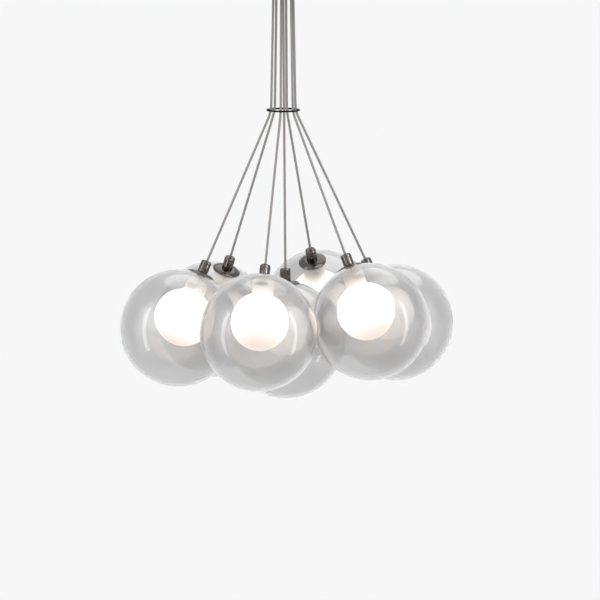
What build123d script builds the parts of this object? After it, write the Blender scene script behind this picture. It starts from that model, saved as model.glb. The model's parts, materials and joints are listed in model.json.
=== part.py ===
# %% Cluster pendant: seven glass globes hung on cords from one ceiling canopy
#
# Millimetres and degrees. The origin is the centre of the canopy's ceiling face, +Z is up, and the
# light hangs below it. X runs to the right and Y away from a person who looks at the front.
import os
from math import cos, radians, sin, sqrt

from build123d import *

os.makedirs("parts", exist_ok=True)

# %% Driving dimensions: glass
globe_diameter = 150.0
globe_wall = 2.4
globe_gap = 0.6  # clear space between two globes that lean on each other
neck_diameter = 27.6  # tube that joins the inner globe to the outer one
neck_wall = 1.8
neck_bead = 1.8  # how far the rolled rim at the top of the neck stands inwards
neck_bead_height = 2.0
neck_root_radius = 4.0  # where the neck runs out into the inner globe
neck_fit = 0.2  # fused joint between the neck and the outer globe
inner_globe_diameter = 74.0
inner_globe_wall = 1.8
inner_globe_rise = 14.8  # centre of the inner globe above the centre of the outer one

# %% Driving dimensions: cords and the gathering ring
cord_diameter = 3.1
cord_fit = 0.15
cord_joint = 0.3  # gap between a cord's upper and lower stretch where it bends
ring_drop = 190.0  # ceiling to the middle of the ring
ring_wire = 2.4
ring_fit = 0.9  # lets the ring slide along the cords
cord_circle_at_ring = 33.6
cord_circle_at_canopy = 27.0
bend_depth = 1.6  # bend of the cords below the middle of the ring
globe_drop = 296.4  # ring to the centre of the middle globe

# %% Driving dimensions: metalwork on each globe
cap_diameter = 36.0
cap_edge = 0.9
cap_crown = 2.4  # top of the cap above the top of the globe
cap_land = 1.0  # flat of the cap that shows round the grip
cap_fit = 0.3
grip_diameter = 13.8
grip_height = 18.0  # top of the grip above the top of the globe
grip_round = 2.2
grip_collar = 4.6  # top of the grip down to its groove
grip_groove_width = 0.7
grip_groove_depth = 0.4
grip_bore_depth = 9.0
shank_diameter = 10.0  # threaded tube that ties the grip, the cap and the lamp holder together
shank_length = 11.0
thread_fit = 0.1
holder_fit = 0.3
holder_length = 26.4
holder_bore_spare = 1.0
clip_height = 1.6
clip_reach = 1.5  # how far the spring ring stands out of the holder, under the neck's rolled rim
clip_groove_depth = 1.4
clip_fit = 0.2
clip_slit = 4.0
lamp_diameter = 9.5
lamp_length = 30.0
lamp_base_height = 5.5
lamp_shoulder = 0.5
lamp_fit = 0.3
pin_diameter = 0.75
pin_length = 5.0
pin_spacing = 4.0
pin_fit = 0.2

# %% Driving dimensions: canopy
canopy_diameter = 120.0
canopy_height = 28.0
canopy_wall = 1.2
canopy_round = 7.0
bracket_length = 108.0
bracket_width = 22.0
bracket_thickness = 2.0
slot_spacing = 60.0
slot_length = 16.0
slot_width = 5.0
supply_hole = 12.0
stud_spacing = 94.0
stud_diameter = 4.0
stud_recess = 0.3
stud_fit = 0.15
cap_nut_width = 7.0  # across flats
cap_nut_hex_height = 3.4
cap_nut_shoulder = 0.3
cap_nut_bore_depth = 4.5
gland_diameter = 11.4
gland_length = 11.0
gland_mouth = 6.6
gland_lip = 0.9
gland_lip_height = 4.0  # the mouth below the point where a cord bends
gland_throat = 4.6
gland_throat_height = 3.0
gland_shank = 8.0
gland_fit = 0.15
gland_spare_thread = 1.5
gland_nut_width = 10.0  # across flats
gland_nut_height = 2.5
driver_length = 60.0
driver_width = 24.0
driver_height = 16.0
driver_clearance = 1.3  # from the glands to the side of the driver
driver_round = 2.0
terminal_pitch = 9.0
terminal_ways = 3
terminal_width = 16.0
terminal_height = 11.0
terminal_clearance = 4.8
terminal_waist = 1.6  # depth of the notches between two ways
terminal_bore = 3.4
terminal_screw_spacing = 8.0
terminal_screw_depth = 5.0
earth_screw_offset = 14.0
earth_screw_thread = 4.0
earth_screw_head = 7.0
earth_screw_head_height = 2.4
earth_screw_slot = 1.0

# %% Where the globes hang
# Each row: bearing round the drop line, then how far the globe's centre is from that line and how
# much higher it is than the middle globe, both in globe pitches. Globes that lean on each other
# have their centres one pitch apart.
arrangement = {
    "left": (204.0, 0.9710, 0.1496),
    "front": (259.7, 1.1450, 0.1984),
    "centre": (341.7, 0.0246, 0.0000),
    "back": (74.0, 1.1518, 0.1532),
    "front_right": (317.6, 0.9949, 0.2354),
    "right": (19.4, 1.0137, 0.1116),
    "back_left": (129.2, 0.9758, 0.0890),
}

# %% Sizes that follow from the driving dimensions
globe_radius = globe_diameter / 2
globe_pitch = globe_diameter + globe_gap
neck_radius = neck_diameter / 2
neck_bore = neck_radius - neck_wall
neck_throat = neck_bore - neck_bead
neck_top = sqrt(globe_radius**2 - neck_radius**2)
bead_foot = neck_top - neck_bead_height
inner_globe_radius = inner_globe_diameter / 2
cord_radius = cord_diameter / 2
cord_bore = cord_radius + cord_fit
cap_radius = cap_diameter / 2
cap_underside = globe_radius + cap_fit
cap_top = globe_radius + cap_crown
grip_radius = grip_diameter / 2
grip_top = globe_radius + grip_height
grip_floor = grip_top - grip_bore_depth
cord_end = grip_floor + cord_fit
shank_radius = shank_diameter / 2
shank_bore = shank_radius + thread_fit
shank_end = cap_top - shank_length
holder_radius = neck_throat - holder_fit
holder_top = sqrt(cap_underside**2 - holder_radius**2) - cap_fit
holder_foot = holder_top - holder_length
clip_top = bead_foot - holder_fit
clip_foot = clip_top - clip_height
clip_groove = holder_radius - clip_groove_depth
ring_radius = cord_circle_at_ring / 2 + cord_radius + ring_fit + ring_wire / 2
canopy_floor = canopy_wall - canopy_height
gland_foot = -canopy_height - gland_length
exit_height = gland_foot + gland_lip_height
gland_reach = cord_circle_at_canopy / 2 + gland_diameter / 2
driver_offset = gland_reach + driver_clearance + driver_width / 2
terminal_offset = gland_reach + terminal_clearance + terminal_width / 2


def bearing(azimuth, reach, height):
    """The point at a bearing and a distance from the drop line, at a height."""
    return Vector(reach * cos(radians(azimuth)), reach * sin(radians(azimuth)), height)


class Pendant:
    """One hanging globe: its centre, the top of its free cord, and the planes of its pieces."""

    def __init__(self, place):
        azimuth, reach, rise = arrangement[place]
        drop = ring_drop + globe_drop - rise * globe_pitch
        self.place = place
        self.bends_at_ring = place != "centre"
        self.centre = bearing(azimuth, reach * globe_pitch, -drop)
        if self.bends_at_ring:
            self.exit = bearing(azimuth, cord_circle_at_canopy / 2, exit_height)
            self.cord_top = bearing(azimuth, cord_circle_at_ring / 2, -ring_drop - bend_depth)
        else:
            self.exit = Vector(0, 0, exit_height)
            self.cord_top = self.exit
        self.hang = (self.cord_top - self.centre).length
        self.up = (self.cord_top - self.centre).normalized()
        side = bearing(azimuth + 90, 1, 0)
        # On this plane the globe's centre is (0, 0) and local Y runs up the cord
        self.profile = Plane(origin=self.centre, x_dir=self.up.cross(side), z_dir=side)
        self.axis = Axis(self.centre, self.up)

    def level(self, height):
        """The plane square to the cord at a height above the globe's centre."""
        return Plane(origin=self.centre + self.up * height, x_dir=self.profile.x_dir, z_dir=self.up)


pendants = [Pendant(place) for place in arrangement]
gland_spots = [(pendant.exit.X, pendant.exit.Y) for pendant in pendants]


def save(piece, name):
    """Label a finished piece and write it to its file."""
    piece.part.label = name
    export_step(piece.part, f"parts/{name}.step")


# %% Outer globe: a blown clear ball with a round opening at the top
def make_globe(pendant):
    with BuildPart() as globe:
        with BuildSketch(pendant.profile):
            Circle(globe_radius)
            Circle(globe_radius - globe_wall, mode=Mode.SUBTRACT)
            Rectangle(globe_diameter, globe_diameter, align=(Align.MAX, Align.CENTER), mode=Mode.SUBTRACT)
            Rectangle(neck_radius + neck_fit, globe_radius, align=Align.MIN, mode=Mode.SUBTRACT)
        revolve(axis=pendant.axis)
    save(globe, f"globe_{pendant.place}")


# %% Inner globe: a frosted ball on a tube, whose rolled rim is fused into the outer globe's opening
def bulb_outline(pendant, ball_radius, tube_radius, tube_top, root_radius):
    """Half outline of a ball with a tube on top, rounded where the two meet."""
    with BuildSketch(pendant.profile) as outline:
        with Locations((0, inner_globe_rise)):
            Circle(ball_radius)
        Rectangle(tube_radius, tube_top, align=Align.MIN)
        Rectangle(globe_diameter, globe_diameter, align=(Align.MAX, Align.CENTER), mode=Mode.SUBTRACT)
        root = (tube_radius, inner_globe_rise + sqrt(ball_radius**2 - tube_radius**2))
        fillet(outline.vertices().sort_by_distance(root)[0], root_radius)
    return outline.sketch


def make_inner_globe(pendant):
    hollow_radius = inner_globe_radius - inner_globe_wall
    outside = bulb_outline(pendant, inner_globe_radius, neck_radius, neck_top, neck_root_radius)
    inside = bulb_outline(pendant, hollow_radius, neck_bore, bead_foot, neck_root_radius + neck_wall)
    with BuildPart() as inner_globe:
        revolve(outside, axis=pendant.axis)
        revolve(inside, axis=pendant.axis, mode=Mode.SUBTRACT)
        with BuildSketch(pendant.level(bead_foot)):
            Circle(neck_throat)
        extrude(amount=2 * neck_bead_height, both=True, mode=Mode.SUBTRACT)
    save(inner_globe, f"inner_globe_{pendant.place}")


# %% Cap: a shallow spun dome whose underside follows the globe
def make_cap(pendant):
    bore_foot = (shank_bore, sqrt(cap_underside**2 - shank_bore**2))
    rim_foot = (cap_radius, sqrt(cap_underside**2 - cap_radius**2))
    rim_top = (cap_radius, rim_foot[1] + cap_edge)
    crown = (grip_radius + cap_land, cap_top)
    with BuildPart() as cap:
        with BuildSketch(pendant.profile):
            with BuildLine():
                Polyline(bore_foot, (shank_bore, cap_top), crown)
                TangentArc(crown, rim_top, tangent=(1, 0))
                Line(rim_top, rim_foot)
                RadiusArc(rim_foot, bore_foot, -cap_underside)
            make_face()
        revolve(axis=pendant.axis)
    save(cap, f"cap_{pendant.place}")


# %% Cord grip: a round-topped nipple on a threaded shank, bored for the cord
def make_cord_grip(pendant):
    groove_top = grip_top - grip_collar
    groove_foot = groove_top - grip_groove_width
    groove_radius = grip_radius - grip_groove_depth
    with BuildPart() as grip:
        with BuildSketch(pendant.profile) as outline:
            with BuildLine():
                Polyline(
                    (0, shank_end),
                    (shank_radius, shank_end),
                    (shank_radius, cap_top),
                    (grip_radius, cap_top),
                    (grip_radius, groove_foot),
                    (groove_radius, groove_foot),
                    (groove_radius, groove_top),
                    (grip_radius, groove_top),
                    (grip_radius, grip_top),
                    (cord_bore, grip_top),
                    (cord_bore, grip_floor),
                    (0, grip_floor),
                    close=True,
                )
            make_face()
            fillet(outline.vertices().sort_by_distance((grip_radius, grip_top))[0], grip_round)
        revolve(axis=pendant.axis)
    save(grip, f"cord_grip_{pendant.place}")


# %% Lamp holder: a two-pin socket in the neck, with a split spring ring under the neck's rolled rim
def make_lamp_holder(pendant):
    bore_floor = shank_end - holder_bore_spare
    clip_radius = holder_radius + clip_reach
    with BuildPart() as holder:
        with BuildSketch(pendant.profile):
            with BuildLine():
                Polyline(
                    (0, holder_foot),
                    (holder_radius, holder_foot),
                    (holder_radius, clip_foot - clip_fit),
                    (clip_groove, clip_foot - clip_fit),
                    (clip_groove, clip_top + clip_fit),
                    (holder_radius, clip_top + clip_fit),
                    (holder_radius, holder_top),
                    (shank_bore, holder_top),
                    (shank_bore, bore_floor),
                    (0, bore_floor),
                    close=True,
                )
            make_face()
        revolve(axis=pendant.axis)
        with BuildSketch(pendant.level(holder_foot)):
            with GridLocations(pin_spacing, 0, 2, 1):
                Circle(pin_diameter / 2 + pin_fit)
        extrude(amount=pin_length + pin_fit, mode=Mode.SUBTRACT)
        with BuildSketch(pendant.level(clip_foot)):
            Circle(clip_radius)
            Circle(clip_groove + clip_fit, mode=Mode.SUBTRACT)
            Rectangle(clip_radius, clip_slit, align=(Align.MIN, Align.CENTER), mode=Mode.SUBTRACT)
        extrude(amount=clip_height)
    save(holder, f"lamp_holder_{pendant.place}")


# %% Lamp: a low-voltage capsule with a moulded base and two pins
def make_lamp(pendant):
    base_top = holder_foot - lamp_fit
    base_foot = base_top - lamp_base_height
    capsule_radius = lamp_diameter / 2 - lamp_shoulder
    tip = base_top - lamp_length
    with BuildPart() as lamp:
        with BuildSketch(pendant.profile):
            with BuildLine():
                Polyline(
                    (0, tip),
                    (0, base_top),
                    (lamp_diameter / 2, base_top),
                    (lamp_diameter / 2, base_foot),
                    (capsule_radius, base_foot),
                    (capsule_radius, tip + capsule_radius),
                )
                CenterArc((0, tip + capsule_radius), capsule_radius, -90, 90)
            make_face()
        revolve(axis=pendant.axis)
        with BuildSketch(pendant.level(base_top)):
            with GridLocations(pin_spacing, 0, 2, 1):
                Circle(pin_diameter / 2)
        extrude(amount=pin_length)
    save(lamp, f"lamp_{pendant.place}")


# %% Cord of one globe: from its bend at the ring, or from the canopy for the middle globe, to its grip
def make_cord(pendant):
    length = pendant.hang - cord_end
    with BuildPart() as cord:
        with BuildSketch(pendant.level(cord_end)):
            Circle(cord_radius)
        extrude(amount=length)
        with Locations(pendant.cord_top):
            Sphere(cord_radius)
    save(cord, f"cord_{pendant.place}")
    return length


# %% Upper cords: the six that bend at the ring, each a straight run from its gland
def make_upper_cords():
    lengths = {}
    with BuildPart() as upper_cords:
        for pendant in pendants:
            if pendant.bends_at_ring:
                run = pendant.cord_top - pendant.exit
                lengths[pendant.place] = run.length
                with BuildSketch(Plane(origin=pendant.exit, z_dir=run)):
                    Circle(cord_radius)
                extrude(amount=run.length - cord_radius - cord_joint)
    save(upper_cords, "upper_cords")
    return lengths


# %% Gathering ring: round wire that slides on the bundle of cords
def make_gather_ring():
    with BuildPart() as gather_ring:
        with BuildSketch(Plane.XZ):
            with Locations((ring_radius, -ring_drop)):
                Circle(ring_wire / 2)
        revolve(axis=Axis.Z)
    save(gather_ring, "gather_ring")


# %% Canopy cover: a spun cup, open to the ceiling, with holes for the glands and the two studs
def make_canopy_cover():
    with BuildPart() as cover:
        with BuildSketch(Plane.XY):
            Circle(canopy_diameter / 2)
        extrude(amount=-canopy_height)
        fillet(cover.edges().sort_by(Axis.Z)[0], canopy_round)
        offset(amount=-canopy_wall, openings=cover.faces().sort_by(Axis.Z)[-1])
        with BuildSketch(Plane.XY.offset(-canopy_height)):
            with Locations(*gland_spots):
                Circle(gland_shank / 2 + gland_fit)
            with GridLocations(stud_spacing, 0, 2, 1):
                Circle(stud_diameter / 2 + stud_fit)
        extrude(amount=2 * canopy_wall, mode=Mode.SUBTRACT)
    save(cover, "canopy_cover")


# %% Mounting bracket: a strip with slots for the ceiling screws and a hole for the supply cable
def make_mounting_bracket():
    with BuildPart() as bracket:
        with BuildSketch(Plane.XY.offset(-bracket_thickness)):
            SlotOverall(bracket_length, bracket_width)
            Circle(supply_hole / 2, mode=Mode.SUBTRACT)
            with GridLocations(slot_spacing, 0, 2, 1):
                SlotOverall(slot_length, slot_width, mode=Mode.SUBTRACT)
            with GridLocations(stud_spacing, 0, 2, 1):
                Circle(stud_diameter / 2 + thread_fit, mode=Mode.SUBTRACT)
            with Locations((earth_screw_offset, 0)):
                Circle(earth_screw_thread / 2 + thread_fit, mode=Mode.SUBTRACT)
        extrude(amount=bracket_thickness)
    save(bracket, "mounting_bracket")


# %% Bracket studs: two threaded rods that carry the cover
def make_bracket_studs():
    with BuildPart() as studs:
        with BuildSketch(Plane.XY.offset(-stud_recess)):
            with GridLocations(stud_spacing, 0, 2, 1):
                Circle(stud_diameter / 2)
        extrude(amount=-(canopy_height + cap_nut_bore_depth - 2 * stud_recess))
    save(studs, "bracket_studs")


# %% Cap nuts: domed nuts under the cover, one on each stud
def make_cap_nuts():
    hex_foot = -canopy_height - cap_nut_hex_height
    with BuildPart() as nuts:
        with BuildSketch(Plane.XY.offset(-canopy_height)):
            with GridLocations(stud_spacing, 0, 2, 1):
                RegularPolygon(cap_nut_width / 2, 6, major_radius=False)
        extrude(amount=-cap_nut_hex_height)
        with Locations((-stud_spacing / 2, 0, hex_foot), (stud_spacing / 2, 0, hex_foot)):
            Sphere(cap_nut_width / 2 - cap_nut_shoulder)
        with BuildSketch(Plane.XY.offset(-canopy_height)):
            with GridLocations(stud_spacing, 0, 2, 1):
                Circle(stud_diameter / 2 + thread_fit)
        extrude(amount=-cap_nut_bore_depth, mode=Mode.SUBTRACT)
    save(nuts, "cap_nuts")


# %% Cord glands: seven trumpets under the cover, each on a threaded shank through its floor
def make_cord_glands():
    shank_top = canopy_floor + gland_nut_height + gland_spare_thread
    with BuildPart() as glands:
        for x, y in gland_spots:
            with BuildSketch(Plane(origin=(x, y, 0), x_dir=(1, 0, 0), z_dir=(0, -1, 0))):
                with BuildLine():
                    Polyline(
                        (cord_bore, shank_top),
                        (gland_shank / 2, shank_top),
                        (gland_shank / 2, -canopy_height),
                        (gland_diameter / 2, -canopy_height),
                        (gland_diameter / 2, exit_height),
                        (gland_mouth / 2 + gland_lip, gland_foot),
                        (gland_mouth / 2, gland_foot),
                        (gland_throat / 2, exit_height),
                        (gland_throat / 2, exit_height + gland_throat_height),
                        (cord_bore, exit_height + gland_throat_height),
                        close=True,
                    )
                make_face()
            revolve(axis=Axis((x, y, 0), (0, 0, 1)))
    save(glands, "cord_glands")


# %% Gland nuts: seven hexagon nuts on the floor of the cover
def make_gland_nuts():
    with BuildPart() as nuts:
        with BuildSketch(Plane.XY.offset(canopy_floor)):
            with Locations(*gland_spots):
                RegularPolygon(gland_nut_width / 2, 6, major_radius=False)
            with Locations(*gland_spots):
                Circle(gland_shank / 2 + thread_fit, mode=Mode.SUBTRACT)
        extrude(amount=gland_nut_height)
    save(nuts, "gland_nuts")


# %% Lamp driver: a potted low-voltage supply that lies on the floor of the cover
def make_lamp_driver():
    with BuildPart() as driver:
        with BuildSketch(Plane.XY.offset(canopy_floor)):
            with Locations((0, driver_offset)):
                RectangleRounded(driver_length, driver_width, driver_round)
        extrude(amount=driver_height)
        fillet(driver.faces().sort_by(Axis.Z)[-1].edges(), driver_round / 2)
    save(driver, "lamp_driver")


# %% Terminal block: moulded ways side by side, each with a wire bore and two screw wells
def make_terminal_block():
    block_length = terminal_pitch * terminal_ways
    middle = canopy_floor + terminal_height / 2
    with BuildPart() as block:
        with BuildSketch(Plane.XY.offset(canopy_floor)):
            with Locations((0, -terminal_offset)):
                Rectangle(block_length, terminal_width)
                with GridLocations(terminal_pitch, terminal_width, terminal_ways - 1, 2):
                    Circle(terminal_waist, mode=Mode.SUBTRACT)
        extrude(amount=terminal_height)
        with BuildSketch(Plane.XZ.offset(terminal_offset)):
            with Locations((0, middle)):
                with GridLocations(terminal_pitch, 0, terminal_ways, 1):
                    Circle(terminal_bore / 2)
        extrude(amount=terminal_width, both=True, mode=Mode.SUBTRACT)
        with BuildSketch(Plane.XY.offset(canopy_floor + terminal_height)):
            with Locations((0, -terminal_offset)):
                with GridLocations(terminal_pitch, terminal_screw_spacing, terminal_ways, 2):
                    Circle(terminal_bore / 2)
        extrude(amount=-terminal_screw_depth, mode=Mode.SUBTRACT)
    save(block, "terminal_block")


# %% Earth screw: a slotted screw in the bracket for the earth wire
def make_earth_screw():
    spot = (earth_screw_offset, 0)
    head_foot = -bracket_thickness - earth_screw_head_height
    with BuildPart() as screw:
        with BuildSketch(Plane.XY.offset(-bracket_thickness)):
            with Locations(spot):
                Circle(earth_screw_head / 2)
        extrude(amount=-earth_screw_head_height)
        with BuildSketch(Plane.XY.offset(-bracket_thickness)):
            with Locations(spot):
                Circle(earth_screw_thread / 2)
        extrude(amount=bracket_thickness - stud_recess)
        with BuildSketch(Plane.XY.offset(head_foot)):
            with Locations(spot):
                Rectangle(earth_screw_head, earth_screw_slot)
        extrude(amount=earth_screw_head_height / 2, mode=Mode.SUBTRACT)
    save(screw, "earth_screw")


# %% Build every piece
upper_lengths = make_upper_cords()
for pendant in pendants:
    make_globe(pendant)
    make_inner_globe(pendant)
    make_cap(pendant)
    make_cord_grip(pendant)
    make_lamp_holder(pendant)
    make_lamp(pendant)
    lower_length = make_cord(pendant)
    total = lower_length + upper_lengths.get(pendant.place, 0)
    lean = pendant.up.get_angle(Vector(0, 0, 1))
    print(f"{pendant.place}: cord {total:.1f} mm from gland to grip, leaning {lean:.1f} degrees")
make_gather_ring()
make_canopy_cover()
make_mounting_bracket()
make_bracket_studs()
make_cap_nuts()
make_cord_glands()
make_gland_nuts()
make_lamp_driver()
make_terminal_block()
make_earth_screw()
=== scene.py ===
# %% [markdown]
# # A cluster pendant light: seven double-glass globes on cords
#
# This lesson dresses a finished CAD model in glass, metal and light. The CAD model already knows where every
# globe hangs, so nothing here is placed by eye. Lengths are in metres, +Z is up, the ceiling is at Z = 0, and a
# person who looks at the front looks along +Y.

# %% Load the CAD frame
import json
from math import acos, asin, cos, pi, radians, sin, sqrt

import bmesh
import bpy
import numpy as np
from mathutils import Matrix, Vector


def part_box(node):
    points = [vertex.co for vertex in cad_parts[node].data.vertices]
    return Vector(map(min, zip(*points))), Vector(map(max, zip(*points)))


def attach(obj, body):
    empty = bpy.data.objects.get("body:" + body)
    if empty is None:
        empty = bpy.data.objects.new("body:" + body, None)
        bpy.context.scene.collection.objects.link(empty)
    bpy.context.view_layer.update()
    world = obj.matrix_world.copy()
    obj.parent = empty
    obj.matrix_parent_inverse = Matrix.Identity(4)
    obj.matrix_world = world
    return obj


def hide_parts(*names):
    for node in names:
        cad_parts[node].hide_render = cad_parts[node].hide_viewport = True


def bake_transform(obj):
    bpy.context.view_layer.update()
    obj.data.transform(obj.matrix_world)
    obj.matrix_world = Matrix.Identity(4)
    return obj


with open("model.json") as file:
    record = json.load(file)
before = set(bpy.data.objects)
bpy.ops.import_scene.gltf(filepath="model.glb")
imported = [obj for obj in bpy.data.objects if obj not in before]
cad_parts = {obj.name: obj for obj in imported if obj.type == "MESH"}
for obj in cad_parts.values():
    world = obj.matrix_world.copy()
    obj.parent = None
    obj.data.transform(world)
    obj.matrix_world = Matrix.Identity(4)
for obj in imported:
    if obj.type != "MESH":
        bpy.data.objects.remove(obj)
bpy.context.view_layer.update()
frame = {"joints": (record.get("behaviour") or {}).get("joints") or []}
scene = bpy.context.scene

# %% [markdown]
# ## The camera
#
# The globes at the front and at the back of the cluster look equally large, so the photograph was taken from far
# away with a long lens. The black ring shows as a thin ellipse, which puts the camera a few degrees above the
# horizontal. A camera with those two facts comes first, because each later step is judged through it.

# %% Camera
MM = 0.001
camera_elevation = radians(6.6)
camera_distance = 12.0
picture_width = 0.770  # what the picture spans at the light
picture_centre = Vector((0.0216, 0, -0.4349))  # the point of the light that the middle of the picture shows

lens = bpy.data.cameras.new("camera")
camera = bpy.data.objects.new("camera", lens)
scene.collection.objects.link(camera)
scene.camera = camera
lens.lens = lens.sensor_width * camera_distance / picture_width
lens.clip_end = 100  # far enough to take in the floor
camera.location = picture_centre + camera_distance * Vector((0, -cos(camera_elevation), sin(camera_elevation)))
camera.rotation_euler = (pi / 2 - camera_elevation, 0, 0)
print("focal length, mm:", round(lens.lens))

# %% [markdown]
# ## Where each globe hangs
#
# A globe hangs on a straight cord from the gathering ring, and everything on it is turned about the line of that
# cord. That line needs two points. The lower one is the globe's centre, which its CAD box gives. The upper one is
# where the cord bends at the ring, and that is where the CAD model has the hinge on which the globe swings.

# %% Hang lines
globe_radius = 75 * MM
exit_height = -35 * MM  # the mouths of the canopy's glands
gland_circle_radius = 13.5 * MM
places = ["left", "front", "centre", "back", "front_right", "right", "back_left"]
hinges = {joint["name"]: joint["pos_m"] for joint in frame["joints"] if joint["type"] == "hinge"}


class HangLine:
    """The line on which one globe hangs: its centre, the direction up its cord, and where its cord starts.

    top is where the line leaves the ring, or the gland for the middle globe. upper is the direction of a cord
    above the ring.
    """

    def __init__(self, place):
        low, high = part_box(f"globe_{place}")
        self.place = place
        self.centre = np.array([(low.x + high.x) / 2, (low.y + high.y) / 2, low.z + globe_radius])
        self.bends_at_ring = f"{place}_swing" in hinges
        self.body = f"pendant_{place}" if self.bends_at_ring else "bundle"
        if self.bends_at_ring:
            self.top = np.array(hinges[f"{place}_swing"])
            outward = self.top[:2] / np.linalg.norm(self.top[:2])
            self.exit = np.append(outward * gland_circle_radius, exit_height)
            self.upper = (self.exit - self.top) / np.linalg.norm(self.exit - self.top)
        else:
            self.exit = np.array([0, 0, exit_height])
            self.top = self.exit
        self.up = (self.top - self.centre) / np.linalg.norm(self.top - self.centre)

    def at(self, height):
        """The point on the line at a height above the globe's centre."""
        return self.centre + height * self.up


lines = [HangLine(place) for place in places]
for line in lines:
    lean = np.degrees(acos(line.up[2]))
    print(f"{line.place}: centre {np.round(line.centre / MM)} mm, {lean:.0f} degrees off plumb")

# %% [markdown]
# ## From a grid of points to a mesh
#
# Almost every piece here is one surface: a grid of points whose rows follow an outline and whose columns go round
# an axis. One function turns any such grid into a smooth mesh, closes it where it meets itself, and lays out its
# UV map. The map's second value counts metres along the outline or the cord, so a pattern can have its real size.

# %% Grid surfaces
weld_distance = 0.001 * MM


def grid_mesh(name, points, uv):
    """A smooth mesh on a grid of points, shaped (rows, columns, 3), whose last column equals its first.

    Each face joins four neighbours. Points that coincide, as on the seam and at a pole, become one point.
    """
    rows, columns = points.shape[:2]
    index = np.arange(rows * columns).reshape(rows, columns)
    quads = np.stack([index[:-1, :-1], index[:-1, 1:], index[1:, 1:], index[1:, :-1]], axis=-1)
    mesh = bpy.data.meshes.new(name)
    mesh.from_pydata(points.reshape(-1, 3), [], quads.reshape(-1, 4))
    layer = mesh.uv_layers.new(name="UVMap")
    layer.data.foreach_set("uv", uv.reshape(-1, 2)[quads.reshape(-1)].astype(np.float32).ravel())
    close_mesh(mesh)
    mesh.shade_smooth()
    piece = bpy.data.objects.new(name, mesh)
    scene.collection.objects.link(piece)
    return piece


def close_mesh(mesh):
    """Joins points that coincide, which closes seams and poles, and points the faces outwards."""
    work = bmesh.new()
    work.from_mesh(mesh)
    bmesh.ops.remove_doubles(work, verts=work.verts, dist=weld_distance)
    bmesh.ops.recalc_face_normals(work, faces=work.faces)
    work.to_mesh(mesh)
    work.free()


print("points within", weld_distance / MM, "mm of each other become one")

# %% [markdown]
# A turned or blown piece is an outline that goes round an axis. The outline is a list of corners, each with the
# radius that the tool, the die or the flame leaves on it. No real edge is perfectly sharp, and it is on that small
# round that polished metal catches its thin bright line.

# %% Outlines and turned pieces
turn_steps = 128
arc_steps = 6


def soft_corners(corners):
    """An outline through corners (radius, height, rounding), with an arc in place of each rounded corner.

    An arc starts and ends where a circle of that radius touches the corner's two sides. It is drawn as a weighted
    mean of the two touching points and the corner, a rational curve of degree 2, which is an exact circle.
    """
    corners = np.array(corners, float)
    spot, rounding = corners[:, :2], corners[:, 2]
    outline = [spot[:1]]
    for before, here, after, radius in zip(spot[:-2], spot[1:-1], spot[2:], rounding[1:-1]):
        if radius == 0:
            outline.append(here[None])
            continue
        back = (before - here) / np.linalg.norm(before - here)
        onward = (after - here) / np.linalg.norm(after - here)
        half_angle = acos(np.clip(back @ onward, -1, 1)) / 2
        reach = radius / np.tan(half_angle)
        t = np.linspace(0, 1, arc_steps)[:, None]
        weights = (1 - t) ** 2, 2 * t * (1 - t) * sin(half_angle), t**2
        start, finish = here + reach * back, here + reach * onward
        arc = (weights[0] * start + weights[1] * here + weights[2] * finish) / sum(weights)
        outline.append(arc)
    outline.append(spot[-1:])
    return np.concatenate(outline)


def circle_arc(centre_height, radius, start, end, steps):
    """Points of a circle centred on the axis, from one polar angle to another, measured from straight down."""
    angle = np.linspace(start, end, steps)
    return np.stack([radius * np.sin(angle), centre_height - radius * np.cos(angle)], axis=1)


def turned(name, outline, line, ripple=None):
    """The surface that an outline (radius, height) sweeps as it goes round a hang line.

    A point is the line's point at its height, plus its radius times the direction at its angle round the line.
    ripple gives how far each point then moves out from the line, as a function of height and angle.
    """
    side = np.cross(line.up, [0, 1, 0])
    side /= np.linalg.norm(side)
    angle = np.linspace(0, 2 * pi, turn_steps + 1)
    outwards = np.outer(np.cos(angle), side) + np.outer(np.sin(angle), np.cross(line.up, side))
    radius, height = outline.T
    reach = np.repeat(radius[:, None], len(angle), axis=1)
    if ripple is not None:
        reach = reach + ripple(radius[:, None], height[:, None], angle[None])
    points = line.centre + height[:, None, None] * line.up + reach[..., None] * outwards[None]
    points[:, -1] = points[:, 0]
    along = np.insert(np.cumsum(np.linalg.norm(np.diff(outline, axis=0), axis=1)), 0, 0)
    u, v = np.meshgrid(angle / (2 * pi), along)
    return grid_mesh(name, points, np.stack([u, v], axis=-1))


print("a corner of 1 mm becomes", len(soft_corners([(0, 0, 0), (1, 0, 1), (1, 1, 0)])), "points")

# %% [markdown]
# ## How materials are written
#
# A material here is a few nodes. Colours are written as they look on a screen, as sRGB hex values, and one
# function turns them into the linear numbers that Blender computes with. Another adds a node, its settings and
# its links in one line, so that each material reads from top to bottom.

# %% Colours and nodes
def paint(hex_colour):
    """The linear RGBA colour of an sRGB hex value such as 8f8b88."""
    channels = np.array([int(hex_colour[i : i + 2], 16) / 255 for i in (0, 2, 4)])
    linear = np.where(channels <= 0.04045, channels / 12.92, ((channels + 0.055) / 1.055) ** 2.4)
    return (*linear.tolist(), 1.0)


def add(tree, kind, settings=None, **inputs):
    """Adds a node. settings are its own properties, and inputs are values, or sockets to link, by socket name.

    Where several sockets have the same name, as on a Mix node, a key such as _6 gives the socket's number.
    """
    node = tree.nodes.new(f"ShaderNode{kind}")
    for key, value in (settings or {}).items():
        setattr(node, key, value)
    for key, value in inputs.items():
        socket = node.inputs[int(key[1:])] if key[1:].isdigit() else node.inputs[key.replace("_", " ")]
        if isinstance(value, bpy.types.NodeSocket):
            tree.links.new(value, socket)
        else:
            socket.default_value = value
    return node


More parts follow.
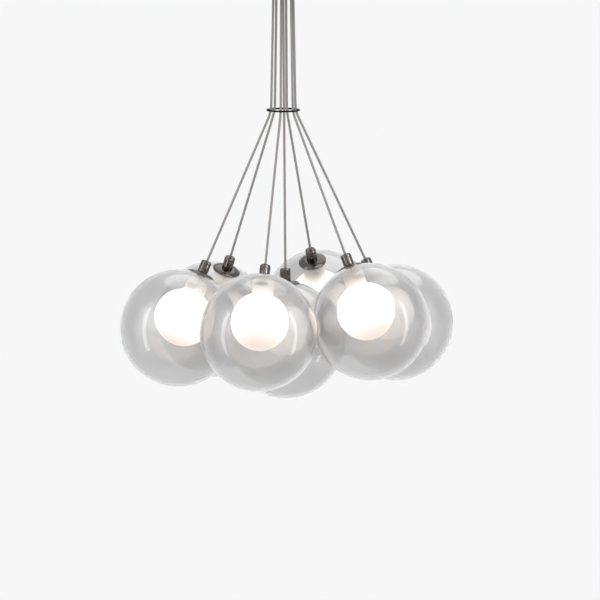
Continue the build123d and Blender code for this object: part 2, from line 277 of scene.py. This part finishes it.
def new_material(name):
    """An empty material, its node tree and its Principled shader."""
    material = bpy.data.materials.new(name)
    material.use_nodes = True
    return material, material.node_tree, material.node_tree.nodes["Principled BSDF"]


print("cord grey 8f8b88 is", [round(c, 3) for c in paint("8f8b88")[:3]], "in linear light")

# %% [markdown]
# ## Cords
#
# Each cord is a round low-voltage lead with a soft grey sheath, held straight by the weight of its globe. It
# leaves its gland in the canopy, runs down to the black ring, bends there and runs on to its globe. A cord can't
# make a sharp corner, so its line is a smooth spline: two control points six diameters from the ring keep the
# straight runs straight. The tube then follows points that Blender reads from that spline.

# %% Cord route
cord_diameter = 3.1 * MM
cord_end = 84.15 * MM  # above the globe's centre, inside the grip
straight_until = 6 * cord_diameter  # from the ring
route_resolution = 24


def cord_route(line):
    """The control points of one cord, from its gland to its grip."""
    end = line.at(cord_end)
    if not line.bends_at_ring:
        return [line.exit, (line.exit + end) / 2, end]
    return [
        line.exit,
        line.top + straight_until * line.upper,
        line.top,
        line.top - straight_until * line.up,
        end,
    ]


def spline_points(name, route):
    """The points of a smooth line drawn by Blender with the route's points as its control points."""
    curve = bpy.data.curves.new(name, "CURVE")
    curve.dimensions = "3D"
    curve.resolution_u = route_resolution
    spline = curve.splines.new("NURBS")
    spline.points.add(len(route) - 1)
    spline.points.foreach_set("co", np.hstack([route, np.ones((len(route), 1))]).ravel())
    spline.order_u = 3
    spline.use_endpoint_u = True
    holder = bpy.data.objects.new(name, curve)
    mesh = bpy.data.meshes.new_from_object(holder)
    points = np.empty(3 * len(mesh.vertices), np.float32)
    mesh.vertices.foreach_get("co", points)
    bpy.data.objects.remove(holder)
    bpy.data.curves.remove(curve)
    bpy.data.meshes.remove(mesh)
    return points.reshape(-1, 3).astype(float)


print("a cord is straight from", round(straight_until / MM, 1), "mm off the ring")

# %% Cord tubes
cord_sides = 24


def tube(name, path, radius, across):
    """A round tube on a path that lies in one plane. across is the direction square to that plane.

    At each point of the path the circle's two directions are across, and across turned square to the path. The two
    end circles shrink to a point, which closes the tube.
    """
    tangent = np.gradient(path, axis=0)
    tangent /= np.linalg.norm(tangent, axis=1)[:, None]
    lift = np.cross(tangent, across)
    angle = np.linspace(0, 2 * pi, cord_sides + 1)
    circle = np.cos(angle)[None, :, None] * across + np.sin(angle)[None, :, None] * lift[:, None]
    points = path[:, None] + radius * circle
    points[:, -1] = points[:, 0]
    ends = [np.broadcast_to(path[i], (1, len(angle), 3)) for i in (0, -1)]
    points = np.concatenate([ends[0], points, ends[1]])
    along = np.insert(np.cumsum(np.linalg.norm(np.diff(path, axis=0), axis=1)), 0, 0)
    u, v = np.meshgrid(angle * radius, np.concatenate([along[:1], along, along[-1:]]))
    return grid_mesh(name, points, np.stack([u, v], axis=-1))


def make_cord(line):
    """One cord, as a tube on its spline, with its real length worked out from that spline."""
    path = spline_points(f"route_{line.place}", cord_route(line))
    sideways = np.cross(line.exit - line.top if line.bends_at_ring else [0, 0, 1], line.up)
    piece = tube(f"sheathed_cord_{line.place}", path, cord_diameter / 2, sideways / np.linalg.norm(sideways))
    length = np.linalg.norm(np.diff(path, axis=0), axis=1).sum()
    return piece, path, length


cords = {}
for line in lines:
    cord, path, length = make_cord(line)
    cords[line.place] = cord
    if line.bends_at_ring:
        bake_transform(cord)
        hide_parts(f"cord_{line.place}", "upper_cords")
    else:
        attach(cord, line.body)
        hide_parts(f"cord_{line.place}")
    print(f"cord {line.place}: {length / MM:.0f} mm")

# %% [markdown]
# ## The clear globes
#
# Each globe is blown clear glass with a wall of 2.4 mm and a round opening at the top, where the inner globe is
# fused in. The wall is modelled with both of its faces, because light bends at each: that is what draws the fine
# bright rim. Blown glass is never perfectly even, so the inner face wanders by a tenth of a millimetre in slow
# waves, and the room's reflections break into the soft streaks that tell the eye it is looking at glass.

# %% Clear globes
globe_wall = 2.4 * MM
opening_radius = 14.0 * MM
globe_steps = 64
ripple_depth = 0.12 * MM
# Each wave: how many times it goes up and down round the globe, and how far it turns in a metre of height, radians
ripple_waves = [(3, 40), (5, -70), (2, 150)]


def globe_outline():
    """Up the outer face from the bottom to the opening, over its straight lip, and down the inner face."""
    hollow_radius = globe_radius - globe_wall
    outer = circle_arc(0, globe_radius, 0, pi - asin(opening_radius / globe_radius), globe_steps)
    inner = circle_arc(0, hollow_radius, pi - asin(opening_radius / hollow_radius), 0, globe_steps)
    return np.concatenate([outer, inner])


def glass_ripple(seed):
    """Slow waves on the inner face: a sum of sine waves of the angle and the height, fading towards the poles."""
    phases = np.random.default_rng(seed).uniform(0, 2 * pi, len(ripple_waves))

    def ripple(radius, height, angle):
        inside = np.hypot(radius, height) < globe_radius - globe_wall / 2
        fade = np.clip(radius / globe_radius, 0, 1) ** 2
        wave = sum(
            np.sin(around * angle + turning * height + phase)
            for (around, turning), phase in zip(ripple_waves, phases)
        )
        return np.where(inside, ripple_depth * fade * wave, 0)

    return ripple


globes = {
    line.place: turned(f"clear_globe_{line.place}", globe_outline(), line, ripple=glass_ripple(seed))
    for seed, line in enumerate(lines)
}
print("points on one globe:", len(globes["left"].data.vertices))

# %% [markdown]
# ## The frosted inner globes
#
# Inside each clear globe a frosted ball stands on a tube that rises to the opening. Ball and tube are one glass,
# so the outline runs round the ball, through the soft root where the two meet, up the tube, over its rolled rim
# and back down inside.

# %% Inner globes
inner_radius = 37 * MM
inner_wall = 1.8 * MM
inner_rise = 14.8 * MM
neck_radius = 13.8 * MM
neck_throat = 10.2 * MM
bead_height = 2.0 * MM
root_radius = 4.0 * MM
ball_steps = 48
neck_top = sqrt(globe_radius**2 - neck_radius**2)
root_height = inner_rise + sqrt((inner_radius + root_radius) ** 2 - (neck_radius + root_radius) ** 2)


def bulb_half(ball_radius, tube_radius, fillet):
    """A ball's outline from its bottom to its root, then the root's own arc up to the tube.

    The root's circle has its centre level with the tube's foot, and touches both the ball and the tube.
    """
    reach = tube_radius + fillet
    lean = asin(reach / (ball_radius + fillet))
    ball = circle_arc(inner_rise, ball_radius, 0, pi - lean, ball_steps)
    angle = np.linspace(lean - pi / 2, 0, arc_steps + 2)[1:]
    root = np.stack([reach - fillet * np.cos(angle), root_height + fillet * np.sin(angle)], axis=1)
    return np.concatenate([ball, root])


def inner_globe_outline():
    """Up the outside of ball and tube, over the rolled rim, and back down the inside of tube and ball."""
    outer = bulb_half(inner_radius, neck_radius, root_radius)
    inner = bulb_half(inner_radius - inner_wall, neck_radius - inner_wall, root_radius + inner_wall)
    rim = soft_corners(
        [
            (neck_radius, root_height, 0),
            (neck_radius, neck_top, 0.5 * MM),
            (neck_throat, neck_top, 0.8 * MM),
            (neck_throat, neck_top - bead_height, 0.8 * MM),
            (neck_radius - inner_wall, neck_top - bead_height, 0.5 * MM),
            (neck_radius - inner_wall, root_height, 0),
        ]
    )
    return np.concatenate([outer, rim[1:-1], inner[::-1]])


inner_globes = {
    line.place: turned(f"inner_globe_{line.place}", inner_globe_outline(), line) for line in lines
}
print("neck top is", round(neck_top / MM, 1), "mm above the centre of its globe")

# %% [markdown]
# ## Caps and cord grips
#
# A spun cap sits on the opening, with a turned grip in its middle that holds the cord. Both are small and
# polished, so what the eye gets from them is reflections, and those need soft edges. The grip has a groove below
# its rounded head, and its threaded shank goes down through the cap.

# %% Caps and grips
cap_radius = 18 * MM
cap_edge = 0.9 * MM
cap_top = 77.4 * MM
cap_underside = 75.3 * MM
cap_flat_radius = 7.9 * MM
cap_steps = 14
edge_gap = 0.005  # polar angle between the round of the cap's edge and the first point of its underside
shank_radius = 5.0 * MM
shank_end = 66.4 * MM
grip_radius = 6.9 * MM
head_foot = cap_top + 0.02 * MM  # the grip's head stands just clear of the cap
grip_top = 93 * MM
grip_round = 2.2 * MM
grip_floor = 84.0 * MM
cord_bore = 1.7 * MM
groove_top = 88.4 * MM
groove_foot = 87.7 * MM
groove_radius = 6.5 * MM
break_edge = 0.25 * MM  # the small round on every turned edge


def cap_outline():
    """Out over the flat and the dome to the rim, round its edge, and back along the underside's sphere."""
    rim_foot = sqrt(cap_underside**2 - cap_radius**2)
    fall = cap_top - rim_foot - cap_edge
    dome_radius = ((cap_radius - cap_flat_radius) ** 2 + fall**2) / (2 * fall)
    angle = np.linspace(0, asin((cap_radius - cap_flat_radius) / dome_radius), cap_steps)
    reach, drop = dome_radius * np.sin(angle), dome_radius * (1 - np.cos(angle))
    dome = np.stack([cap_flat_radius + reach, cap_top - drop], axis=1)
    edge = soft_corners(
        [
            (*dome[-2], 0),
            (cap_radius, rim_foot + cap_edge, break_edge),
            (cap_radius, rim_foot, break_edge),
            (shank_radius, sqrt(cap_underside**2 - shank_radius**2), 0),
        ]
    )
    start = pi - asin(cap_radius / cap_underside) + edge_gap
    underside = circle_arc(0, cap_underside, start, pi, cap_steps)
    return np.concatenate([[(0, cap_top)], dome[:-1], edge[1:-1], underside])


def grip_outline():
    """Up the shank, out under the head, up its side with the groove, over the round and down the cord's bore."""
    return soft_corners(
        [
            (0, shank_end, 0),
            (shank_radius, shank_end, break_edge),
            (shank_radius, head_foot, 0),
            (grip_radius, head_foot, break_edge),
            (grip_radius, groove_foot, break_edge / 2),
            (groove_radius, groove_foot, break_edge / 2),
            (groove_radius, groove_top, break_edge / 2),
            (grip_radius, groove_top, break_edge / 2),
            (grip_radius, grip_top, grip_round),
            (cord_bore, grip_top, break_edge),
            (cord_bore, grip_floor, 0),
            (0, grip_floor, 0),
        ]
    )


caps = {line.place: turned(f"cap_{line.place}_spun", cap_outline(), line) for line in lines}
grips = {line.place: turned(f"grip_{line.place}_turned", grip_outline(), line) for line in lines}
print("points on one grip:", len(grips["left"].data.vertices))

# %% [markdown]
# ## What moves with what
#
# The CAD model knows which body swings on which hinge. Each new piece only has to say which body carries it, which
# CAD node it stands for, and which finish of the part's record it has.

# %% Bodies, nodes and slots
for line in lines:
    for piece, node, slot in (
        (globes[line.place], "globe", "clear_glass"),
        (inner_globes[line.place], "inner_globe", "frosted_glass"),
        (caps[line.place], "cap", "black_chrome"),
        (grips[line.place], "cord_grip", "black_chrome"),
    ):
        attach(piece, line.body)
        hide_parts(f"{node}_{line.place}")
print(4 * len(lines), "pieces ride on their bodies")

# %% [markdown]
# ## The gathering ring
#
# A ring of black steel wire gathers the seven cords, and six of them bend where they pass it. Blender's own torus
# would do, but a grid of two circles is as short, and it takes its sizes from the CAD node, so it stays on it if
# the ring ever changes.

# %% Gathering ring
ring_low, ring_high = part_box("gather_ring")
wire_radius = (ring_high.z - ring_low.z) / 2
ring_radius = (ring_high.x - ring_low.x) / 2 - wire_radius
ring_height = (ring_high.z + ring_low.z) / 2
ring_steps = 96
wire_sides = 24


def make_ring():
    """A circle of wire: the wire's own circle goes round the ring's circle."""
    round_ring, round_wire = np.meshgrid(
        np.linspace(0, 2 * pi, ring_steps + 1), np.linspace(0, 2 * pi, wire_sides + 1)
    )
    reach = ring_radius + wire_radius * np.cos(round_wire)
    height = ring_height + wire_radius * np.sin(round_wire)
    points = np.stack([reach * np.cos(round_ring), reach * np.sin(round_ring), height], axis=-1)
    uv = np.stack([round_ring * ring_radius, round_wire * wire_radius], axis=-1)
    return grid_mesh("wire_ring", points, uv)


ring = make_ring()
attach(ring, "gather_ring")
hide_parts("gather_ring")
print("ring:", round(2 * ring_radius / MM, 1), "mm across the middle of its wire")

# %% [markdown]
# ## Clear glass
#
# The outer globe is blown soda-lime glass: mirror-smooth, with an index of refraction of 1.52. Perfectly clear
# glass would vanish against a pale ground, so a little grey in the base colour stands for the light that four
# faces of a real globe turn away. The coat is the thin film that handling and warm air leave on it. Its index of
# refraction is higher than glass has, so that it lies over the globe as a soft pale sheen, and two globes in line
# come out little darker than one. Blown glass also cools in faint waves, too shallow to be worth a finer mesh, so
# a bump map bends the light there.

# %% Clear glass
def clear_soda_lime_glass():
    """Clear blown glass. It gives the eye a faint grey body, streaks of reflection and a bright line at the rim."""
    material, tree, shader = new_material("clear_soda_lime_glass")
    waves = add(tree, "TexNoise", Vector=add(tree, "TexCoord").outputs["Object"], Scale=1 / (22 * MM), Detail=1.0)
    relief = add(tree, "Bump", Strength=0.5, Distance=0.3 * MM, Height=waves.outputs["Fac"])
    tree.links.new(relief.outputs["Normal"], shader.inputs["Normal"])
    shader.inputs["Base Color"].default_value = paint("d5d5d5")
    shader.inputs["Coat Weight"].default_value = 1.0
    shader.inputs["Coat Roughness"].default_value = 0.3
    shader.inputs["Coat IOR"].default_value = 1.9
    shader.inputs["Transmission Weight"].default_value = 1.0
    shader.inputs["IOR"].default_value = 1.52
    shader.inputs["Roughness"].default_value = 0.0
    return material


glass = clear_soda_lime_glass()
for globe in globes.values():
    globe.data.materials.append(glass)
    globe.visible_shadow = False  # Cycles would give clear glass the shadow of a solid ball
print("clear glass on", len(globes), "globes")

# %% [markdown]
# ## Frosted glass
#
# The inner ball is etched in acid, and that fine frost spreads the light of the lamp in it over the whole ball. A
# real lamp behind rough glass takes very many light paths to come out smooth. So the frost itself glows here, and
# its glow follows the height on the ball: full beside the lamp, a little weaker and warmer at the bottom, and
# dying away up the neck, where the lamp's holder stands in the light.

# %% Frosted glass
def acid_etched_glass():
    """Glass etched to a fine white frost, lit from inside. It gives the eye an even glow without a visible lamp.

    The height on the ball is the UV map's second value, which counts metres along the outline from the bottom.
    """
    material, tree, shader = new_material("acid_etched_glass")
    warm_below, white_above = 8 * MM, 58 * MM
    full_below, faint_above = 84 * MM, 120 * MM
    height = add(tree, "SeparateXYZ", Vector=add(tree, "TexCoord").outputs["UV"])
    fade = add(
        tree,
        "MapRange",
        {"interpolation_type": "SMOOTHSTEP"},
        Value=height.outputs["Y"],
        From_Min=full_below,
        From_Max=faint_above,
        To_Min=1.0,
        To_Max=0.1,
    )
    rise = add(
        tree,
        "MapRange",
        {"interpolation_type": "SMOOTHSTEP"},
        Value=height.outputs["Y"],
        From_Min=warm_below,
        From_Max=white_above,
    )
    warmth = add(
        tree,
        "Mix",
        {"data_type": "RGBA"},
        _0=rise.outputs["Result"],
        _6=paint("c4b5ac"),
        _7=paint("fff5ec"),
    )
    glow = add(
        tree,
        "Mix",
        {"data_type": "RGBA"},
        _0=fade.outputs["Result"],
        _6=paint("000000"),
        _7=warmth.outputs["Result"],
    )
    frost = add(tree, "TexNoise", Vector=add(tree, "TexCoord").outputs["Object"], Scale=1 / (0.4 * MM), Detail=3.0)
    dimple = add(tree, "Bump", Strength=0.15, Distance=0.02 * MM, Height=frost.outputs["Fac"])
    shader.inputs["Base Color"].default_value = paint("b0a498")
    shader.inputs["Roughness"].default_value = 0.5
    # The glow is painted light for the lamp's light through the frost. Its ramp paints shade, weaker and warmer
    # towards the bottom and dying away up the neck, where the holder stands in the light.
    tree.links.new(glow.outputs["Result"], shader.inputs["Emission Color"])
    shader.inputs["Emission Strength"].default_value = 2.2
    tree.links.new(dimple.outputs["Normal"], shader.inputs["Normal"])
    return material


frosted = acid_etched_glass()
for inner_globe in inner_globes.values():
    inner_globe.data.materials.append(frosted)
print("frosted glass on", len(inner_globes), "inner globes")

# %% [markdown]
# ## Chrome, wire and sheath
#
# Caps and grips are brass under buffed black chrome, which is a dark mirror: Metallic at 1 gives every reflection
# the base colour, and the roughness wanders a little, as pressure on the buffing wheel does. The ring's wire has a
# baked black finish, which the eye takes for lacquer, not metal: a nearly black base under a weak, broad sheen.
# The sheath of the cords is soft grey PVC over two twisted cores. Its pattern reads the tube's UV map, so it
# follows the cord round its bend.

# %% Black chrome and black wire
def black_chrome():
    """Brass plated with black chrome and buffed. It gives the eye dark, sharp reflections, a little warm."""
    material, tree, shader = new_material("black_chrome")
    rub = add(
        tree, "TexNoise", Vector=add(tree, "TexCoord").outputs["Object"], Scale=1 / (6 * MM), Detail=4.0
    )
    rough = add(tree, "MapRange", Value=rub.outputs["Fac"], To_Min=0.04, To_Max=0.12)
    shader.inputs["Base Color"].default_value = paint("585553")
    shader.inputs["Metallic"].default_value = 1.0
    tree.links.new(rough.outputs["Result"], shader.inputs["Roughness"])
    return material


def blackened_wire():
    """Steel wire with a baked black finish. It gives the eye a plain black line with a soft sheen."""
    material, tree, shader = new_material("blackened_steel_wire")
    grain = add(
        tree, "TexNoise", Vector=add(tree, "TexCoord").outputs["Object"], Scale=1 / (0.8 * MM), Detail=2.0
    )
    rough = add(tree, "MapRange", Value=grain.outputs["Fac"], To_Min=0.4, To_Max=0.6)
    shader.inputs["Base Color"].default_value = paint("030303")
    shader.inputs["Specular IOR Level"].default_value = 0.12
    tree.links.new(rough.outputs["Result"], shader.inputs["Roughness"])
    return material


chrome = black_chrome()
ring.data.materials.append(blackened_wire())
for piece in (*caps.values(), *grips.values()):
    piece.data.materials.append(chrome)
print("black chrome on", len(caps) + len(grips), "caps and grips")

# %% Sheath of the cords
def soft_pvc_sheath():
    """Soft grey PVC, extruded over two twisted cores. It gives the eye a satin grey and, close up, a slow twist.

    The cores show as a double screw thread: the sine of twice the angle round the cord, where that angle turns
    once for every lay length along it. Fine lines along the cord are drag marks of the die.
    """
    material, tree, shader = new_material("soft_pvc_sheath")
    core_count = 2
    lay_length = 34 * MM
    girth = pi * cord_diameter
    drag_stretch = 50  # how much longer than wide a drag mark is
    uv = add(tree, "SeparateXYZ", Vector=add(tree, "TexCoord").outputs["UV"])
    round_cord = add(tree, "Math", {"operation": "MULTIPLY"}, _0=uv.outputs["X"], _1=core_count * 2 * pi / girth)
    turn = add(
        tree,
        "Math",
        {"operation": "MULTIPLY_ADD"},
        _0=uv.outputs["Y"],
        _1=core_count * 2 * pi / lay_length,
        _2=round_cord.outputs[0],
    )
    cores = add(tree, "Math", {"operation": "SINE"}, _0=turn.outputs[0])
    drag = add(tree, "Mapping", Vector=add(tree, "TexCoord").outputs["UV"], Scale=(1.0, 1 / drag_stretch, 1.0))
    lines_along = add(tree, "TexNoise", Vector=drag.outputs["Vector"], Scale=1 / (0.5 * MM), Detail=2.0)
    tint = add(
        tree,
        "Mix",
        {"data_type": "RGBA"},
        _0=lines_along.outputs["Fac"],
        _6=paint("8f8b88"),
        _7=paint("9f9b98"),
    )
    rough = add(tree, "MapRange", Value=lines_along.outputs["Fac"], To_Min=0.35, To_Max=0.55)
    relief = add(tree, "Bump", Strength=0.6, Distance=0.15 * MM, Height=cores.outputs[0])
    tree.links.new(tint.outputs["Result"], shader.inputs["Base Color"])
    tree.links.new(rough.outputs["Result"], shader.inputs["Roughness"])
    tree.links.new(relief.outputs["Normal"], shader.inputs["Normal"])
    return material


sheath = soft_pvc_sheath()
for cord in cords.values():
    cord.data.materials.append(sheath)
print("sheath on", len(cords), "cords")

# %% [markdown]
# ## The pieces that keep their CAD shape
#
# The canopy and what is in it, the lamp holders and the lamps have the right shape already, so they stay as they
# are and only get a finish. Their patterns read Object coordinates, because a CAD mesh has no UV map. Zinc plate
# on pressed steel has a fine bluish spangle. Satin nickel is brushed, so its grain runs one way. Moulded plastic
# has the fine spark texture of its mould.

# %% Metals inside the canopy and the necks
def grained_metal(name, dark, light, grain, stretch, rough_low, rough_high):
    """A bare or plated metal: noise of a real grain size, stretched along Z, drives its tint and its roughness."""
    material, tree, shader = new_material(name)
    spread = add(tree, "Mapping", Vector=add(tree, "TexCoord").outputs["Object"], Scale=(1.0, 1.0, 1 / stretch))
    noise = add(tree, "TexNoise", Vector=spread.outputs["Vector"], Scale=1 / grain, Detail=4.0)
    tint = add(tree, "Mix", {"data_type": "RGBA"}, _0=noise.outputs["Fac"], _6=paint(dark), _7=paint(light))
    rough = add(tree, "MapRange", Value=noise.outputs["Fac"], To_Min=rough_low, To_Max=rough_high)
    relief = add(tree, "Bump", Strength=0.2, Distance=0.02 * MM, Height=noise.outputs["Fac"])
    shader.inputs["Metallic"].default_value = 1.0
    tree.links.new(tint.outputs["Result"], shader.inputs["Base Color"])
    tree.links.new(rough.outputs["Result"], shader.inputs["Roughness"])
    tree.links.new(relief.outputs["Normal"], shader.inputs["Normal"])
    return material


# Zinc plate gives a pale, slightly blue sheen with a cloudy spangle
zinc = grained_metal("zinc_plated_steel", "a8acb0", "bec1c4", 1.5 * MM, 1.0, 0.28, 0.45)
# Satin nickel gives a warm grey with streaks as the brush left them, drawn coarser than the real 0.1 mm
nickel = grained_metal("brushed_nickel_plate", "a39b93", "b8b1a9", 0.3 * MM, 8.0, 0.25, 0.4)
# Turned brass gives a yellow that is a little duller where it has been handled
brass = grained_metal("turned_brass", "b5913f", "cfae62", 2.5 * MM, 1.0, 0.18, 0.35)
print("metals:", zinc.name, nickel.name, brass.name)

# %% Plastic and lamps
def moulded_polyamide():
    """White glass-filled polyamide from a spark-eroded mould. It gives the eye a dull white with a fine pebble."""
    material, tree, shader = new_material("moulded_polyamide")
    pebble = add(tree, "TexNoise", Vector=add(tree, "TexCoord").outputs["Object"], Scale=1 / (0.5 * MM), Detail=2.0)
    clouds = add(tree, "TexNoise", Vector=add(tree, "TexCoord").outputs["Object"], Scale=1 / (12 * MM), Detail=2.0)
    tint = add(
        tree, "Mix", {"data_type": "RGBA"}, _0=clouds.outputs["Fac"], _6=paint("e2e1dc"), _7=paint("ebeae6")
    )
    relief = add(tree, "Bump", Strength=0.3, Distance=0.05 * MM, Height=pebble.outputs["Fac"])
    tree.links.new(tint.outputs["Result"], shader.inputs["Base Color"])
    shader.inputs["Roughness"].default_value = 0.55
    tree.links.new(relief.outputs["Normal"], shader.inputs["Normal"])
    return material


def lit_quartz_capsule():
    """A frosted quartz capsule, lit. It gives the eye a warm white glow, a little uneven."""
    material, tree, shader = new_material("lit_quartz_capsule")
    mottle = add(tree, "TexNoise", Vector=add(tree, "TexCoord").outputs["Object"], Scale=1 / (4 * MM), Detail=2.0)
    glow = add(
        tree, "Mix", {"data_type": "RGBA"}, _0=mottle.outputs["Fac"], _6=paint("ffe9cc"), _7=paint("fff5e6")
    )
    shader.inputs["Base Color"].default_value = paint("f2efe9")
    shader.inputs["Roughness"].default_value = 0.4
    tree.links.new(glow.outputs["Result"], shader.inputs["Emission Color"])
    shader.inputs["Emission Strength"].default_value = 1.0
    return material


plastic = moulded_polyamide()
capsule = lit_quartz_capsule()
print("plastic and lamps:", plastic.name, capsule.name)

# %% Each kept node gets its material
kept_nodes = {
    "canopy_cover": chrome,
    "cap_nuts": chrome,
    "cord_glands": chrome,
    "mounting_bracket": zinc,
    "bracket_studs": zinc,
    "gland_nuts": zinc,
    "lamp_driver": plastic,
    "terminal_block": plastic,
    "earth_screw": brass,
}
for place in places:
    kept_nodes[f"lamp_holder_{place}"] = nickel
    kept_nodes[f"lamp_{place}"] = capsule
for node, material in kept_nodes.items():
    bpy.data.objects[node].material_slots[0].material = material
print(len(kept_nodes), "CAD nodes keep their shape")

# %% [markdown]
# ## The studio
#
# The photograph has a plain pale ground. The world gives it to the camera, and to the rays that metal and glass
# send out, so that they stand in the same pale room. All other rays get soft white light, about half as strong,
# which leaves room for the lamps: together they light a surface at the level at which its colour looks as written.

# %% World
world_level = 0.55


def studio_world():
    """A pale ground for the camera, for glass and for metal, and soft white light for the rest."""
    world = bpy.data.worlds.new("studio")
    world.use_nodes = True
    tree = world.node_tree
    tree.nodes.clear()
    rays = add(tree, "LightPath")
    ground = add(tree, "Background", Color=paint("f7f7f8"), Strength=1.0)
    soft_light = add(tree, "Background", Color=paint("ffffff"), Strength=world_level)
    shows = rays.outputs["Is Camera Ray"]
    for kind in ("Is Glossy Ray", "Is Transmission Ray"):
        shows = add(tree, "Math", {"operation": "MAXIMUM"}, _0=shows, _1=rays.outputs[kind]).outputs[0]
    seen = add(tree, "MixShader", _0=shows, _1=soft_light.outputs[0], _2=ground.outputs[0])
    add(tree, "OutputWorld", Surface=seen.outputs[0])
    return world


scene.world = studio_world()
scene.view_settings.view_transform = "Standard"
# Seven globes stand one behind the other, each with four faces of glass, so light needs many turns to get through
scene.cycles.max_bounces = 40
scene.cycles.transmission_bounces = 40
scene.cycles.glossy_bounces = 8
print("world light:", world_level, "of full white, and the lamps give the rest")

# %% [markdown]
# ## Lamps
#
# Three suns with very wide discs give plain soft light with no hard shadow: a key from the front right, a weaker
# fill from the front left, and one from high behind that draws the tops of the globes off their ground. A sun has
# no distance, so the light is the same wherever the object stands.

# %% Lamps, each: azimuth, elevation, strength and width of its disc
lamps = {
    "key_lamp": (35, 50, 0.86, 45),
    "fill_lamp": (-50, 30, 0.48, 60),
    "top_lamp": (160, 65, 0.57, 50),
}
for name, (azimuth, elevation, strength, spread) in lamps.items():
    lamp = bpy.data.lights.new(name, "SUN")
    lamp.energy = strength
    lamp.angle = radians(spread)
    stand = bpy.data.objects.new(name, lamp)
    stand.rotation_euler = (pi / 2 - radians(elevation), 0, radians(azimuth))
    scene.collection.objects.link(stand)
print(len(lamps), "suns")

# %% [markdown]
# ## Softboxes
#
# Polished things show what stands round them. Tall softboxes give the glass its thin curved streaks, and the
# metal its bright upright bands. Metal this dark needs much brighter bands than glass does, so each softbox is
# linked to the pieces that it is for, and none of them lights anything else.

# %% Softboxes, each: azimuth, width, tallness, radiance and the pieces that show it
metal_nodes = [bpy.data.objects[node] for node, material in kept_nodes.items() if material is chrome]
polished_metal = [*caps.values(), *grips.values(), *metal_nodes]
softboxes = {
    "glass_softbox_right": (74, 0.4, 4.0, 3.0, globes.values()),
    "glass_softbox_left": (-70, 0.4, 4.0, 3.0, globes.values()),
    "metal_softbox_right": (55, 1.2, 6.0, 8.0, polished_metal),
    "metal_softbox_left": (-60, 0.5, 6.0, 5.0, polished_metal),
}
softbox_distance = 3.0
for name, (azimuth, width, tall, radiance, shown_by) in softboxes.items():
    box = bpy.data.lights.new(name, "AREA")
    box.shape = "RECTANGLE"
    box.size, box.size_y = width, tall
    box.energy = radiance * pi * width * tall
    stand = bpy.data.objects.new(name, box)
    side = radians(azimuth)
    stand.location = (softbox_distance * sin(side), -softbox_distance * cos(side), picture_centre.z)
    stand.rotation_euler = (pi / 2, 0, side)
    stand.visible_camera = stand.visible_diffuse = stand.visible_transmission = False
    scene.collection.objects.link(stand)
    receivers = bpy.data.collections.new(f"{name} is shown by")
    for piece in shown_by:
        receivers.objects.link(piece)
    stand.light_linking.receiver_collection = receivers
print(len(softboxes), "softboxes")

# %% [markdown]
# ## The floor
#
# A ceiling light hangs well above the floor of its room, so this floor lies two metres below the globes. It is one
# large square with a matt paint. The camera sees it far behind the light as an even ground, the soft shadow falls
# on it outside the picture, and it throws pale light back up. A view from below looks through it, because its
# shader is clear on its back.

# %% Floor
floor_height = -2.6
floor_reach = 60


def make_floor():
    """A flat square floor, far below the light, painted on its upper side and clear on its lower one."""
    corners = np.array([(-1, -1), (1, -1), (1, 1), (-1, 1)]) * floor_reach
    mesh = bpy.data.meshes.new("floor")
    mesh.from_pydata(np.hstack([corners, np.full((4, 1), floor_height)]), [], [(0, 1, 2, 3)])
    floor = bpy.data.objects.new("floor", mesh)
    scene.collection.objects.link(floor)
    material, tree, shader = new_material("matt_pale_floor")
    shader.inputs["Base Color"].default_value = paint("f7f7f8")
    shader.inputs["Roughness"].default_value = 1.0
    shader.inputs["Specular IOR Level"].default_value = 0.0
    side = add(tree, "NewGeometry")
    clear = add(tree, "BsdfTransparent")
    one_sided = add(tree, "MixShader", _0=side.outputs["Backfacing"], _1=shader.outputs[0], _2=clear.outputs[0])
    tree.links.new(one_sided.outputs[0], tree.nodes["Material Output"].inputs["Surface"])
    mesh.materials.append(material)
    return floor


make_floor()
print("floor at", floor_height, "m")
